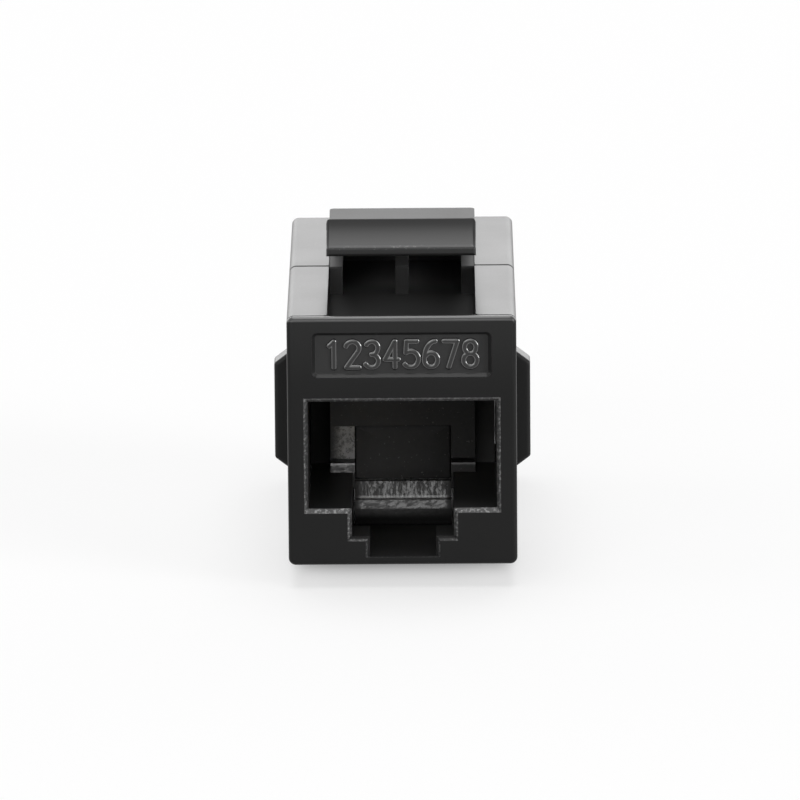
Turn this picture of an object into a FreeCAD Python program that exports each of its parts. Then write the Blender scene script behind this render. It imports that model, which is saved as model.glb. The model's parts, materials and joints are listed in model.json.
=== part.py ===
"""Keystone coupler: two plug sockets back to back in a snap-in housing, with a sprung latch lever on top.

Millimetres. X runs across the port, Y from the front port to the rear port, +Z is up.
The origin is on the surface that the coupler rests on, below the middle of its length.
"""
import FreeCAD, Part
import math
import os
from FreeCAD import Vector

# Body of the two shells
BODY_WIDTH = 14.5
FRONT_LENGTH = 15.5
REAR_LENGTH = 15.5
NOSE_HEIGHT = 16.1
FOOT_DROP = 1.5
LONG_EDGE_RADIUS = 0.45
FACE_EDGE_RADIUS = 0.3
SEAM_EDGE_RADIUS = 0.2
RAIL_CORNER_RADIUS = 0.3

# Plug port, with heights above the underside of the nose and depths behind the port's face
PORT_WIDTH = 11.94
PORT_HEIGHT = 6.95
PORT_FLOOR = 3.65
PORT_RIM = 0.28
PORT_RIM_DEPTH = 0.28
STEP_WIDTH = 6.47
STEP_FLOOR = 1.83
TAB_WIDTH = 4.2
TAB_FLOOR = 0.52
CATCH_WALL = 3.1
CORE_FLOOR = 2.3
CORE_ROOF = 11.8

# Contact carrier, built forwards from the board
CARRIER_WIDTH = 9.33
FLANGE_THICKNESS = 1.8
FACE_PROJECTION = 1.3
FLOOR_SETBACK = 1.36
LEDGE_LENGTH = 0.4
LEDGE_RISE = 0.34
LEDGE_SLOPE_HEIGHT = 0.59
LEDGE_SLOPE_LENGTH = 0.2
LEDGE_GROOVE_HEIGHT = 0.26
LEDGE_GROOVE_DEPTH = 0.9
RECESS_WIDTH = 6.2
RECESS_DEPTH = 0.45
RECESS_ROOF = 6.38
TONGUE_LENGTH = 2.85
TONGUE_TOP = 2.13
TONGUE_FALL = 0.39
TONGUE_CHAMFER_HEIGHT = 0.54
TONGUE_CHAMFER_LENGTH = 0.2
RAMP_SETBACK = 0.45
RAMP_RISE = 1.03
RAMP_LENGTH = 0.37

# Contacts: bent strips, side by side
CONTACT_COUNT = 8
CONTACT_PITCH = 1.016
CONTACT_WIDTH = 0.45
CONTACT_THICKNESS = 0.3
CONTACT_ROOF_GAP = 0.1
CONTACT_BEND_DEPTH = 5.3
CONTACT_BEND_RADIUS = 0.3
CONTACT_CORNER_RADIUS = 0.35
CONTACT_SLOPE = 12.9
CONTACT_TIP_GAP = 1.04
CONTACT_DROP_SETBACK = 0.55
CONTACT_SLOT_FIT = 0.08
PIN_REACH = 1.4
FRONT_PIN_HEIGHTS = (9.0, 7.4)
REAR_PIN_HEIGHTS = (5.8, 4.2)

# Circuit board
BOARD_THICKNESS = 1.6
PIN_HOLE_RADIUS = 0.34
PIN_HOLE_SIDES = 8

# Label field above the front port
LABEL_WIDTH = 11.33
LABEL_HEIGHT = 2.92
LABEL_BOTTOM = 12.16
LABEL_DEPTH = 0.35
LABEL_WALL_SLOPE = 0.22
LABEL_CORNER_RADIUS = 0.35

# Channel along the top, with the lip that closes it at the front face
CHANNEL_WIDTH = 9.35
CHANNEL_DEPTH = 1.89
LIP_TOP_WIDTH = 0.4
LIP_BASE_WIDTH = 1.4
LIP_GROOVE_WIDTH = 0.15
LIP_GROOVE_DEPTH = 0.2
RIB_WIDTH = 0.85
RIB_RELIEF = 0.05

# Side ears that stop against the back of the panel
EAR_SPAN = 16.4
EAR_DEPTH = 9.8
EAR_LENGTH = 2.0
EAR_MIDDLE = 7.85
EAR_HEIGHT = 6.2
EAR_CHAMFER_HEIGHT = 0.72
EAR_EDGE_RADIUS = 0.25

# Fixed lug and the foot behind it, below the nose
LUG_WIDTH = 9.6
LUG_DEPTH = 6.4
LUG_RAMP = 1.0
LUG_LENGTH = 1.8
FOOT_DEPTH = 10.4

# Latch lever, with heights above the rails and its lip's depth behind the front face
ROOT_LENGTH = 5.1
HINGE_RADIUS = 0.4
HINGE_CLEARANCE = 0.05
LEVER_ANGLE = 7.46
ARM_WIDTH = 9.0
HEAD_WIDTH = 9.53
LIP_DEPTH = 6.5
LIP_THICKNESS = 0.52
BARB_LENGTH = 1.7
BARB_RISE = 1.55
BARB_HOLLOW = 0.16
NOTCH_LENGTH = 2.1
NOTCH_THICKNESS = 1.0
SHOULDER_THICKNESS = 1.65
HEAD_LENGTH = 5.0
LEVER_EDGE_RADIUS = 0.2
ROOT_HEIGHT = 0.55
ROOT_FRONT_HEIGHT = 0.1
ROOT_CORNER_RADIUS = 0.3

# Snap tongues of the rear shell, in windows of the front shell's side walls
SNAP_LENGTH = 3.4
SNAP_HEIGHT = 7.0
SNAP_THICKNESS = 0.6
SNAP_BARB_LENGTH = 1.3
SNAP_BARB_HEIGHT = 3.6
SNAP_BARB_SETBACK = 0.6
SNAP_BARB_RECESS = 0.12
SNAP_ROOT_LENGTH = 2.0

# Clearance between pieces that fit together
FIT = 0.05

# Derived places
FRONT_Y = -(FRONT_LENGTH + REAR_LENGTH) / 2
SEAM_Y = FRONT_Y + FRONT_LENGTH
BACK_Y = SEAM_Y + REAR_LENGTH
NOSE_Z = FOOT_DROP
TOP_Z = NOSE_Z + NOSE_HEIGHT
PORT_ROOF = PORT_FLOOR + PORT_HEIGHT
CHANNEL_FLOOR_Z = TOP_Z - CHANNEL_DEPTH
HINGE_Y = BACK_Y - ROOT_LENGTH
HINGE_Z = TOP_Z + HINGE_RADIUS
CONTACT_RUN_HEIGHT = PORT_ROOF - CONTACT_ROOF_GAP - CONTACT_THICKNESS / 2
BEYOND = 1.0


def box_between(low, high):
    """A box between two opposite corners."""
    size = [high[i] - low[i] for i in range(3)]
    return Part.makeBox(size[0], size[1], size[2], Vector(*low))


def middle_box(width, y_range, z_range):
    """A box centred across the body."""
    return box_between((-width / 2, y_range[0], z_range[0]), (width / 2, y_range[1], z_range[1]))


def port_box(width, depth_range, height_range):
    """A centred box in port places: depth behind the face, height above the nose's underside."""
    return middle_box(width, depth_range, [NOSE_Z + height for height in height_range])


def across(edges, width):
    """A side profile, drawn as edges in the YZ plane at X = 0, extruded evenly to both sides."""
    face = Part.Face(Part.Wire(Part.__sortEdges__(edges)))
    face.translate(Vector(-width / 2, 0, 0))
    return face.extrude(Vector(width, 0, 0))


def polygon_edges(points):
    """Straight edges round a closed YZ outline."""
    vertices = [Vector(0, y, z) for y, z in points]
    return [Part.LineSegment(a, b).toShape() for a, b in zip(vertices, vertices[1:] + vertices[:1])]


def arc_edge(start, middle, end):
    """An arc through three YZ points."""
    return Part.Arc(Vector(0, *start), Vector(0, *middle), Vector(0, *end)).toShape()


def edges_along(shape, axis, test):
    """Straight edges parallel to an axis (0, 1 or 2) whose middle point passes a test."""
    found = []
    for edge in shape.Edges:
        box = edge.BoundBox
        spans = (box.XLength, box.YLength, box.ZLength)
        others = [spans[i] for i in range(3) if i != axis]
        if spans[axis] > 1e-6 and max(others) < 1e-6 and test(edge.CenterOfMass):
            found.append(edge)
    return found


def edges_at_y(shape, y):
    """The edges that lie in the plane at a given Y."""
    return [edge for edge in shape.Edges if abs(edge.BoundBox.YMin - y) + abs(edge.BoundBox.YMax - y) < 1e-6]


def rounded_body(y_face, y_seam, z_low):
    """A shell's outer block, with rounded long edges, a softened port face and a softened seam."""
    block = middle_box(BODY_WIDTH, sorted((y_face, y_seam)), (z_low, TOP_Z))
    block = block.makeFillet(LONG_EDGE_RADIUS, edges_along(block, 1, lambda point: True))
    block = block.makeFillet(FACE_EDGE_RADIUS, edges_at_y(block, y_face))
    return block.makeFillet(SEAM_EDGE_RADIUS, edges_at_y(block, y_seam))


def at_front(shape):
    """Puts a shape from port places behind the front face."""
    placed = shape.copy()
    placed.translate(Vector(0, FRONT_Y, 0))
    return placed


def at_rear(shape):
    """Puts a shape from port places behind the rear face, turned half round."""
    placed = shape.copy()
    placed.rotate(Vector(0, 0, 0), Vector(0, 0, 1), 180)
    placed.translate(Vector(0, BACK_Y, 0))
    return placed


def on_side(shape, side):
    """A shape made for the right side, mirrored for side -1."""
    return shape if side > 0 else shape.mirror(Vector(0, 0, 0), Vector(1, 0, 0))


def port_outline(depth, grow):
    """The stepped outline of the port's mouth at one depth, widened all round by a margin."""
    right = [
        (PORT_WIDTH / 2 + grow, PORT_ROOF + grow),
        (PORT_WIDTH / 2 + grow, PORT_FLOOR - grow),
        (STEP_WIDTH / 2 + grow, PORT_FLOOR - grow),
        (STEP_WIDTH / 2 + grow, STEP_FLOOR - grow),
        (TAB_WIDTH / 2 + grow, STEP_FLOOR - grow),
        (TAB_WIDTH / 2 + grow, TAB_FLOOR),
    ]
    left = [(-x, height) for x, height in reversed(right)]
    points = [Vector(x, depth, NOSE_Z + height) for x, height in right + left]
    return Part.makePolygon(points + points[:1])


def core_depth(shell_length):
    """Depth of the shoulder that the carrier's flange seats against."""
    return shell_length - BOARD_THICKNESS / 2 - FLANGE_THICKNESS


def carrier_depth(shell_length):
    """Depth of the carrier's face, where a plug stops."""
    return core_depth(shell_length) - FACE_PROJECTION


def floor_end(shell_length):
    """Depth where the port's floor ends, in front of the carrier's ledge."""
    return carrier_depth(shell_length) - FLOOR_SETBACK


def drop_depth(shell_length):
    """Depth of the upright stretch of a contact, in front of the board."""
    return shell_length - BOARD_THICKNESS / 2 - CONTACT_DROP_SETBACK


def port_void(shell_length):
    """Everything that is open inside one shell, from the chamfered mouth to the seam."""
    end = shell_length + BEYOND
    core = core_depth(shell_length)
    rim = Part.makeLoft([port_outline(0, PORT_RIM), port_outline(PORT_RIM_DEPTH, 0)], True, True)
    mouth = Part.Face(port_outline(0, 0)).extrude(Vector(0, CATCH_WALL, 0))
    return mouth.multiFuse([
        rim,
        port_box(PORT_WIDTH, (CATCH_WALL / 2, core), (PORT_FLOOR, PORT_ROOF)),
        port_box(STEP_WIDTH, (CATCH_WALL, end), (TAB_FLOOR, PORT_FLOOR + FIT)),
        port_box(CARRIER_WIDTH + 2 * FIT, (floor_end(shell_length), end), (CORE_FLOOR, PORT_FLOOR + FIT)),
        port_box(PORT_WIDTH, (core, end), (CORE_FLOOR, CORE_ROOF)),
    ]).removeSplitter()


def contact_places():
    """X of each contact, from left to right."""
    first = -CONTACT_PITCH * (CONTACT_COUNT - 1) / 2
    return [first + CONTACT_PITCH * index for index in range(CONTACT_COUNT)]


def pin_height(index, heights):
    """The pins of neighbouring contacts are in staggered rows."""
    return heights[index % len(heights)]


def ear(side):
    """A side ear, a flange with sloped ends that start inside the wall, rounded along its outer edges."""
    inner = PORT_WIDTH / 2
    tip = EAR_SPAN / 2
    slope = EAR_CHAMFER_HEIGHT / (tip - BODY_WIDTH / 2)
    half_tip = EAR_HEIGHT / 2
    half_base = half_tip + slope * (tip - inner)
    middle = NOSE_Z + EAR_MIDDLE
    outline = [(inner, half_base), (tip, half_tip), (tip, -half_tip), (inner, -half_base)]
    points = [Vector(side * x, FRONT_Y + EAR_DEPTH, middle + z) for x, z in outline]
    solid = Part.Face(Part.makePolygon(points + points[:1])).extrude(Vector(0, EAR_LENGTH, 0))
    outer = [edge for edge in solid.Edges if abs(edge.CenterOfMass.x) > inner + FIT]
    return solid.makeFillet(EAR_EDGE_RADIUS, outer)


def lug():
    """The fixed lug under the nose: a ramp in front and a square catch behind."""
    start = FRONT_Y + LUG_DEPTH
    end = start + LUG_LENGTH
    return across(polygon_edges([
        (start, NOSE_Z), (start + LUG_RAMP, 0), (end, 0), (end, NOSE_Z + FIT), (start, NOSE_Z + FIT),
    ]), LUG_WIDTH)


def label_field():
    """The shallow field above the front port, with round corners and a slope between its walls and floor."""
    floor_y = FRONT_Y + LABEL_DEPTH
    bottom_z = NOSE_Z + LABEL_BOTTOM
    field = middle_box(LABEL_WIDTH, (FRONT_Y - BEYOND, floor_y), (bottom_z, bottom_z + LABEL_HEIGHT))
    field = field.makeFillet(LABEL_CORNER_RADIUS, edges_along(field, 1, lambda point: True))
    return field.makeChamfer(LABEL_WALL_SLOPE, edges_at_y(field, floor_y))


def front_channel():
    """The open channel between the rails, behind a lip that thins towards its top."""
    lip_back = FRONT_Y + LIP_TOP_WIDTH
    lip_foot = FRONT_Y + LIP_BASE_WIDTH
    end = SEAM_Y + BEYOND
    return across(polygon_edges([
        (lip_back, TOP_Z + BEYOND), (lip_back, TOP_Z), (lip_foot, CHANNEL_FLOOR_Z),
        (end, CHANNEL_FLOOR_Z), (end, TOP_Z + BEYOND),
    ]), CHANNEL_WIDTH)


def rail_corner(side, y, inward, z_low):
    """What comes off the inner corner of a rail's end to round it; inward is the rail's direction along Y."""
    wall = side * CHANNEL_WIDTH / 2
    centre = (wall + side * RAIL_CORNER_RADIUS, y + inward * RAIL_CORNER_RADIUS)
    x_range = sorted((wall, centre[0]))
    y_range = sorted((y, centre[1]))
    height = TOP_Z + BEYOND - z_low
    corner = box_between((x_range[0], y_range[0], z_low), (x_range[1], y_range[1], z_low + height))
    return corner.cut(Part.makeCylinder(RAIL_CORNER_RADIUS, height, Vector(centre[0], centre[1], z_low)))


def snap_tongue(side):
    """One snap tongue of the rear shell with its barb, rooted in the wall behind the seam."""
    inner = PORT_WIDTH / 2 + FIT
    outer = inner + SNAP_THICKNESS
    middle = NOSE_Z + EAR_MIDDLE
    start = SEAM_Y - SNAP_LENGTH
    tongue = box_between(
        (inner, start, middle - SNAP_HEIGHT / 2),
        (outer, SEAM_Y + SNAP_ROOT_LENGTH, middle + SNAP_HEIGHT / 2),
    )
    tip = BODY_WIDTH / 2 - SNAP_BARB_RECESS
    barb_start = start + SNAP_BARB_SETBACK
    barb_end = barb_start + SNAP_BARB_LENGTH
    ramp = [(inner, barb_start), (outer, barb_start), (tip, (barb_start + barb_end) / 2), (tip, barb_end),
            (inner, barb_end)]
    points = [Vector(x, y, middle - SNAP_BARB_HEIGHT / 2) for x, y in ramp]
    barb = Part.Face(Part.makePolygon(points + points[:1])).extrude(Vector(0, 0, SNAP_BARB_HEIGHT))
    return on_side(tongue.fuse(barb), side)


def snap_window(side):
    """The room that the front shell leaves for a snap tongue, with a square window for the barb."""
    middle = NOSE_Z + EAR_MIDDLE
    barb_start = SEAM_Y - SNAP_LENGTH + SNAP_BARB_SETBACK
    half_barb = SNAP_BARB_HEIGHT / 2 + FIT
    window = box_between(
        (PORT_WIDTH / 2, barb_start - FIT, middle - half_barb),
        (BODY_WIDTH / 2 + BEYOND, barb_start + SNAP_BARB_LENGTH + FIT, middle + half_barb),
    )
    half = SNAP_HEIGHT / 2 + FIT
    pocket = box_between(
        (PORT_WIDTH / 2 - FIT, SEAM_Y - SNAP_LENGTH - FIT, middle - half),
        (PORT_WIDTH / 2 + 2 * FIT + SNAP_THICKNESS, SEAM_Y + BEYOND, middle + half),
    )
    return on_side(window.fuse(pocket), side)


def front_housing():
    """The front shell: nose, rails, ears, fixed lug, foot and the front port."""
    foot = middle_box(BODY_WIDTH, (FRONT_Y + FOOT_DEPTH, SEAM_Y), (0, NOSE_Z + LONG_EDGE_RADIUS))
    foot = foot.makeFillet(LONG_EDGE_RADIUS, edges_along(foot, 1, lambda point: point.z < NOSE_Z / 2))
    shell = rounded_body(FRONT_Y, SEAM_Y, NOSE_Z).multiFuse([foot, lug(), ear(-1), ear(1)])
    groove_start = FRONT_Y + LIP_TOP_WIDTH
    groove_end = groove_start + LIP_GROOVE_WIDTH
    groove_floor_z = TOP_Z - LIP_GROOVE_DEPTH
    groove = middle_box(BODY_WIDTH + BEYOND, (groove_start, groove_end), (groove_floor_z, TOP_Z + BEYOND))
    shell = shell.cut([at_front(port_void(FRONT_LENGTH)), label_field(), front_channel(), groove])
    for side in (-1, 1):
        shell = shell.cut([
            snap_window(side),
            rail_corner(side, groove_end, 1, groove_floor_z),
            rail_corner(side, SEAM_Y, -1, CHANNEL_FLOOR_Z),
        ])
    return shell.removeSplitter()


def lever_root():
    """The block at the rear end of the channel that the lever bends from: a sloped top and a round seat."""
    seat = HINGE_RADIUS + HINGE_CLEARANCE
    cap = across(polygon_edges([
        (HINGE_Y, TOP_Z - ROOT_HEIGHT), (HINGE_Y, TOP_Z + ROOT_FRONT_HEIGHT), (BACK_Y, TOP_Z + ROOT_HEIGHT),
        (BACK_Y, TOP_Z - ROOT_HEIGHT),
    ]), HEAD_WIDTH)
    corners = edges_along(cap, 2, lambda point: point.y > HINGE_Y + FIT)
    cap = cap.makeFillet(ROOT_CORNER_RADIUS, corners)
    barrel = Part.makeCylinder(
        seat, 2 * HEAD_WIDTH, Vector(-HEAD_WIDTH, HINGE_Y, HINGE_Z), Vector(1, 0, 0))
    return cap.cut(barrel)


def rear_pockets():
    """The two pockets between the three ribs under the lever, and the relief over the ribs."""
    bay = (CHANNEL_WIDTH - 3 * RIB_WIDTH) / 2
    pockets = []
    for side in (-1, 1):
        near = side * RIB_WIDTH / 2
        far = near + side * bay
        pockets.append(box_between(
            (min(near, far), SEAM_Y - BEYOND, CHANNEL_FLOOR_Z), (max(near, far), HINGE_Y, TOP_Z + BEYOND)))
    relief = middle_box(CHANNEL_WIDTH, (SEAM_Y - BEYOND, HINGE_Y), (TOP_Z - RIB_RELIEF, TOP_Z + BEYOND))
    return pockets + [relief]


def rear_housing():
    """The rear shell: body, ribs, lever root, snap tongues and the rear port."""
    shell = rounded_body(BACK_Y, SEAM_Y, 0)
    corners = [rail_corner(side, SEAM_Y, 1, CHANNEL_FLOOR_Z) for side in (-1, 1)]
    shell = shell.cut([at_rear(port_void(REAR_LENGTH))] + rear_pockets() + corners)
    seat = Part.makeCylinder(
        HINGE_RADIUS + HINGE_CLEARANCE, CHANNEL_WIDTH,
        Vector(-CHANNEL_WIDTH / 2, HINGE_Y, HINGE_Z), Vector(1, 0, 0))
    shell = shell.fuse(lever_root()).cut(seat)
    return shell.multiFuse([snap_tongue(-1), snap_tongue(1)]).removeSplitter()


def latch_lever():
    """The lever: a barrel at its root, a tapering arm, a notch for the panel and the barb at its end."""
    angle = math.radians(LEVER_ANGLE)
    forward = (-math.cos(angle), math.sin(angle))
    down = (-math.sin(angle), -math.cos(angle))
    heel = (HINGE_Y + HINGE_RADIUS * down[0], HINGE_Z + HINGE_RADIUS * down[1])
    lip_y = FRONT_Y + LIP_DEPTH
    barb_y = lip_y + BARB_LENGTH
    notch_y = barb_y + NOTCH_LENGTH

    def underside(y):
        return heel[1] + (heel[0] - y) / -forward[0] * forward[1]

    lip = (lip_y, underside(lip_y))
    nose = (lip_y, lip[1] + LIP_THICKNESS)
    tip = (barb_y, nose[1] + BARB_RISE)
    chord = math.hypot(BARB_LENGTH, BARB_RISE)
    hollow = (
        (nose[0] + tip[0]) / 2 + BARB_HOLLOW * BARB_RISE / chord,
        (nose[1] + tip[1]) / 2 - BARB_HOLLOW * BARB_LENGTH / chord,
    )
    floor_z = underside(notch_y) + NOTCH_THICKNESS
    shoulder = (notch_y, underside(notch_y) + SHOULDER_THICKNESS)
    crown = (HINGE_Y, HINGE_Z + HINGE_RADIUS)
    back = (HINGE_Y + HINGE_RADIUS, HINGE_Z)
    outline = [lip, nose, tip, (barb_y, floor_z), (notch_y, floor_z), shoulder, crown]
    vertices = [Vector(0, *point) for point in outline]
    edges = [Part.LineSegment(a, b).toShape() for a, b in zip(vertices, vertices[1:])]
    edges[1] = arc_edge(nose, hollow, tip)
    edges.append(arc_edge(crown, back, heel))
    edges.append(Part.LineSegment(Vector(0, *heel), vertices[0]).toShape())
    whole = across(edges, HEAD_WIDTH)
    sides = [edge for edge in whole.Edges if abs(abs(edge.CenterOfMass.x) - HEAD_WIDTH / 2) < 1e-6
             and edge.CenterOfMass.y < barb_y - FIT]
    lip_edges = edges_along(whole, 0, lambda point: point.y < lip_y + FIT)
    whole = whole.makeFillet(LEVER_EDGE_RADIUS, sides + lip_edges)
    head_end = lip_y + HEAD_LENGTH
    spare = BODY_WIDTH
    trims = [box_between((min(x0, x1), head_end, TOP_Z - spare), (max(x0, x1), BACK_Y, TOP_Z + spare))
             for x0, x1 in ((-spare, -ARM_WIDTH / 2), (ARM_WIDTH / 2, spare))]
    return whole.cut(trims)


def carrier_tongue(shell_length):
    """The tongue under the plug: a bar with a steep chamfer and a falling top, then a ramp up to a shelf."""
    face_depth = carrier_depth(shell_length)
    front = face_depth - TONGUE_LENGTH
    ramp = face_depth - RAMP_SETBACK
    board_face = shell_length - BOARD_THICKNESS / 2
    floor_z = NOSE_Z + TAB_FLOOR + FIT
    top_z = NOSE_Z + TONGUE_TOP
    foot_z = top_z - TONGUE_FALL
    shelf_z = foot_z + RAMP_RISE
    return across(polygon_edges([
        (front, floor_z), (front, top_z - TONGUE_CHAMFER_HEIGHT), (front + TONGUE_CHAMFER_LENGTH, top_z),
        (ramp, foot_z), (ramp + RAMP_LENGTH, shelf_z), (board_face, shelf_z), (board_face, floor_z),
    ]), RECESS_WIDTH)


def contact_slots(shell_length, heights):
    """The comb: for each contact a slot along the carrier's top and one down its back to the pin."""
    board_face = shell_length - BOARD_THICKNESS / 2
    half_slot = CONTACT_WIDTH / 2 + CONTACT_SLOT_FIT
    strip_room = CONTACT_THICKNESS / 2 + CONTACT_SLOT_FIT
    starts = (carrier_depth(shell_length) - BEYOND, drop_depth(shell_length) - strip_room)
    slots = []
    for index, x in enumerate(contact_places()):
        for start, height in zip(starts, (CONTACT_RUN_HEIGHT, pin_height(index, heights))):
            low = (x - half_slot, start, NOSE_Z + height - strip_room)
            slots.append(box_between(low, (x + half_slot, board_face + BEYOND, NOSE_Z + CORE_ROOF)))
    return slots


def contact_carrier(shell_length, heights):
    """The insert at the back of a port: flange, face with a recess, ledge, tongue and comb."""
    core = core_depth(shell_length)
    face_depth = carrier_depth(shell_length)
    ledge_front = face_depth - LEDGE_LENGTH
    low = CORE_FLOOR + FIT
    ledge = PORT_FLOOR + LEDGE_RISE
    flange = port_box(PORT_WIDTH - 2 * FIT, (core, core + FLANGE_THICKNESS), (low, CORE_ROOF - FIT))
    face = port_box(CARRIER_WIDTH, (face_depth, core), (low, PORT_ROOF - FIT))
    stop = across(polygon_edges([(depth, NOSE_Z + height) for depth, height in (
        (ledge_front, low), (ledge_front, ledge - LEDGE_SLOPE_HEIGHT),
        (ledge_front + LEDGE_SLOPE_LENGTH, ledge), (face_depth, ledge), (face_depth, low))]), CARRIER_WIDTH)
    recess_depths = (floor_end(shell_length), face_depth + RECESS_DEPTH)
    recess = port_box(RECESS_WIDTH, recess_depths, (TAB_FLOOR, RECESS_ROOF))
    groove_depths = (face_depth - FIT, face_depth + LEDGE_GROOVE_DEPTH)
    groove = port_box(2 * CARRIER_WIDTH, groove_depths, (ledge, ledge + LEDGE_GROOVE_HEIGHT))
    carrier = flange.multiFuse([face, stop]).cut([recess, groove] + contact_slots(shell_length, heights))
    return carrier.fuse(carrier_tongue(shell_length)).removeSplitter()


def bearing(angle):
    """The unit vector at an angle in the YZ plane, counted from +Y towards +Z."""
    return Vector(0, math.cos(math.radians(angle)), math.sin(math.radians(angle)))


def strip_edges(start, heading, moves, thickness):
    """Outline of a strip that walks from a point: each move is a run, or a turn, round or folded flat.

    A run is ("run", length). A turn is ("bend" or "fold", angle, radius of the middle line), left positive.
    """
    half = thickness / 2
    position = Vector(0, *start)
    edges = []

    def cap():
        normal = bearing(heading + 90) * half
        edges.append(Part.LineSegment(position + normal, position - normal).toShape())

    cap()
    for kind, *size in moves:
        if kind == "run":
            end = position + bearing(heading) * size[0]
            for offset in (bearing(heading + 90) * half, bearing(heading - 90) * half):
                edges.append(Part.LineSegment(position + offset, end + offset).toShape())
            position = end
            continue
        angle, radius = size
        inward = heading + math.copysign(90, angle)
        centre = position + bearing(inward) * radius
        for reach in (radius - half, radius + half):
            points = [centre - bearing(inward + angle * share) * reach for share in (0, 0.5, 1)]
            turn = Part.Arc(*points) if kind == "bend" else Part.LineSegment(points[0], points[2])
            edges.append(turn.toShape())
        position = centre - bearing(inward + angle) * radius
        heading += angle
    cap()
    return edges


def contact(x, shell_length, height):
    """One contact: pin through the board, up the carrier, along the port's roof, folded back down."""
    drop = drop_depth(shell_length)
    tip = shell_length - BOARD_THICKNESS / 2 + PIN_REACH
    corner = CONTACT_CORNER_RADIUS
    reach = carrier_depth(shell_length) - CONTACT_TIP_GAP - CONTACT_BEND_DEPTH
    moves = [
        ("run", tip - drop - corner),
        ("fold", -90, corner),
        ("run", CONTACT_RUN_HEIGHT - height - 2 * corner),
        ("fold", 90, corner),
        ("run", drop - corner - CONTACT_BEND_DEPTH),
        ("bend", 180 - CONTACT_SLOPE, CONTACT_BEND_RADIUS),
        ("run", reach / math.cos(math.radians(CONTACT_SLOPE))),
    ]
    edges = strip_edges((tip, NOSE_Z + height), 180, moves, CONTACT_THICKNESS)
    solid = across(edges, CONTACT_WIDTH)
    solid.translate(Vector(x, 0, 0))
    return solid


def pin_hole(place):
    """A hole through the board for one pin, many-sided so that it has few faces."""
    turn = 2 * math.pi / PIN_HOLE_SIDES
    corners = [place + Vector(math.cos(turn * i), 0, math.sin(turn * i)) * PIN_HOLE_RADIUS
               for i in range(PIN_HOLE_SIDES)]
    return Part.Face(Part.makePolygon(corners + corners[:1])).extrude(Vector(0, 2 * BOARD_THICKNESS, 0))


def circuit_board():
    """The board between the two carriers, with a hole for every pin."""
    board = middle_box(
        PORT_WIDTH - 2 * FIT,
        (SEAM_Y - BOARD_THICKNESS / 2, SEAM_Y + BOARD_THICKNESS / 2),
        (NOSE_Z + CORE_FLOOR + FIT, NOSE_Z + CORE_ROOF - FIT),
    )
    holes = []
    for hand, heights in ((1, FRONT_PIN_HEIGHTS), (-1, REAR_PIN_HEIGHTS)):
        for index, x in enumerate(contact_places()):
            place = Vector(hand * x, SEAM_Y - BOARD_THICKNESS, NOSE_Z + pin_height(index, heights))
            holes.append(pin_hole(place))
    return board.cut(holes)


def all_pieces():
    """Every piece of the coupler by name."""
    pieces = {
        "front_housing": front_housing(),
        "rear_housing": rear_housing(),
        "latch_lever": latch_lever(),
        "circuit_board": circuit_board(),
        "front_contact_carrier": at_front(contact_carrier(FRONT_LENGTH, FRONT_PIN_HEIGHTS)),
        "rear_contact_carrier": at_rear(contact_carrier(REAR_LENGTH, REAR_PIN_HEIGHTS)),
    }
    for index, x in enumerate(contact_places()):
        front_pin = pin_height(index, FRONT_PIN_HEIGHTS)
        rear_pin = pin_height(index, REAR_PIN_HEIGHTS)
        pieces["front_contact_%d" % (index + 1)] = at_front(contact(x, FRONT_LENGTH, front_pin))
        pieces["rear_contact_%d" % (index + 1)] = at_rear(contact(x, REAR_LENGTH, rear_pin))
    return pieces


os.makedirs("parts", exist_ok=True)
for name, shape in all_pieces().items():
    shape.exportStep("parts/%s.step" % name)
    print(name, "solids", len(shape.Solids), "valid", shape.isValid(), "mm3", round(shape.Volume, 2))
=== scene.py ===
"""Keystone coupler in a white studio: satin black mouldings, gilt contacts and raised pin numbers.

Metres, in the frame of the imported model: X across the port, Y from the front port to the rear port, +Z up.
"""
import json
import math
import bpy
import numpy as np
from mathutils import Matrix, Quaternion, Vector


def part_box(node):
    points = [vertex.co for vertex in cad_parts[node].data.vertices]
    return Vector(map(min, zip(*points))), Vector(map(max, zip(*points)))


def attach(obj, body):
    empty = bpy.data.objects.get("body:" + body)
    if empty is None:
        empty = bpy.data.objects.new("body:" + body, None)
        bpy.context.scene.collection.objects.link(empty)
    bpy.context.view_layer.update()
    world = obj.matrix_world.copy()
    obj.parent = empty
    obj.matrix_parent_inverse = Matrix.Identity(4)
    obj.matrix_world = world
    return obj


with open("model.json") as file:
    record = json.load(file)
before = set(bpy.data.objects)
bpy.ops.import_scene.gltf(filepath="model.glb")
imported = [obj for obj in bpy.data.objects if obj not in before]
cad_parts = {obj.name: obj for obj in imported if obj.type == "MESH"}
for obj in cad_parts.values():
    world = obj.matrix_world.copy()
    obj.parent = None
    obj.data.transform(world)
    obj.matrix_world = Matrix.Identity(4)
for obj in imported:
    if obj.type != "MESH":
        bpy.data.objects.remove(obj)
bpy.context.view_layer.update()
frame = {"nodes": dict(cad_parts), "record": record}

MM = 0.001
SHELL_LOW, SHELL_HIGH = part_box("front_housing")
LEVER_LOW, LEVER_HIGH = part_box("latch_lever")
BOARD_LOW, BOARD_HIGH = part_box("circuit_board")
FRONT_Y = SHELL_LOW.y
SEAM_Y = SHELL_HIGH.y
TOP_Z = SHELL_HIGH.z
NOSE_HEIGHT = 16.1 * MM
NOSE_Z = TOP_Z - NOSE_HEIGHT
EDGE_SLACK = 0.02 * MM

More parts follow.
